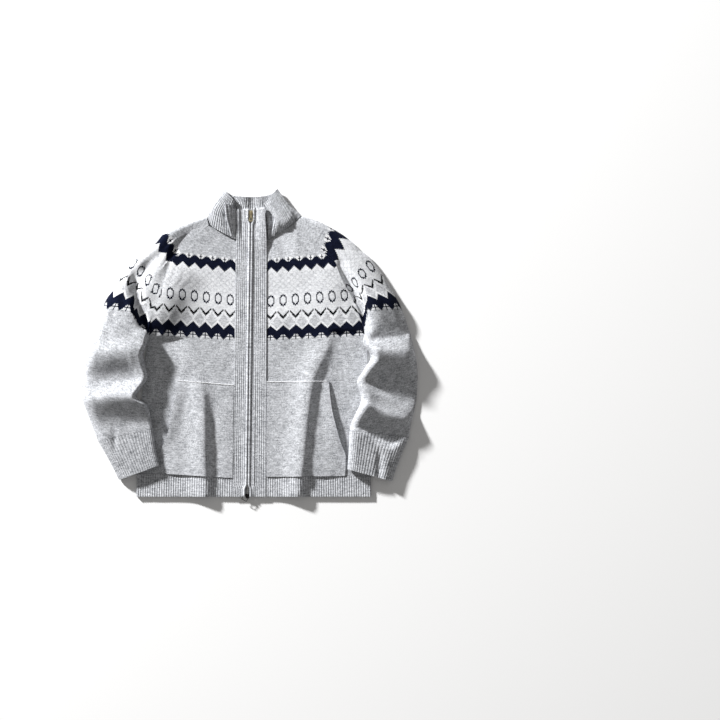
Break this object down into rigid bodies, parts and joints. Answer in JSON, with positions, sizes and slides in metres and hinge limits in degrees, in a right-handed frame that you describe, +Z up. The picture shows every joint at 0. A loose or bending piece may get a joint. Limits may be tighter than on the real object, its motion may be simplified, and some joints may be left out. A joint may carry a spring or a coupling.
{
  "type": "norwegian zip cardigan",
  "caption": "Heavy wool raglan zip cardigan laid flat on its back: rib stand collar, rib plackets, cuffs and hem, slanted pocket panels and a two-way zip.",
  "frame": {"origin": "on the table, under the middle of the outline", "axes": "+X from the zip towards the wearer's left sleeve, +Y from the hem towards the collar, +Z up from the table"},
  "size_m": [0.8306, 0.7716, 0.0524],
  "materials": {
    "wool_knit": "heather grey stocking stitch wool, brushed",
    "wool_rib": "heather grey rib knit wool",
    "zip_tape": "woven grey tape with a metal chain",
    "pale_brass": "polished pale brass",
    "black_metal": "black enamel"
  },
  "bodies": {
    "garment": {"back_panel": "wool_knit", "hem_back": "wool_rib", "front_right": "wool_knit", "pocket_right": "wool_knit", "hem_front_right": "wool_rib", "sleeve_right": "wool_knit", "cuff_right": "wool_rib", "placket_right": "wool_rib", "front_left": "wool_knit", "pocket_left": "wool_knit", "hem_front_left": "wool_rib", "sleeve_left": "wool_knit", "cuff_left": "wool_rib", "placket_left": "wool_rib", "collar": "wool_rib", "zip": "zip_tape", "slider_top": "pale_brass", "slider_bottom": "black_metal"},
    "pull_top": {"pull_top": "pale_brass"},
    "pull_bottom": {"pull_bottom": "black_metal"}
  },
  "joints": [
    {"name": "pull_top_hinge", "type": "hinge", "parent": "garment", "child": "pull_top", "pos_m": [0.00417, 0.32768, 0.00985], "axis": [-1, 0, 0], "range_deg": [0, 160]},
    {"name": "pull_bottom_hinge", "type": "hinge", "parent": "garment", "child": "pull_bottom", "pos_m": [-0.00468, -0.37232, 0.00985], "axis": [-0.866, 0.5, 0], "range_deg": [0, 160]}
  ]
}
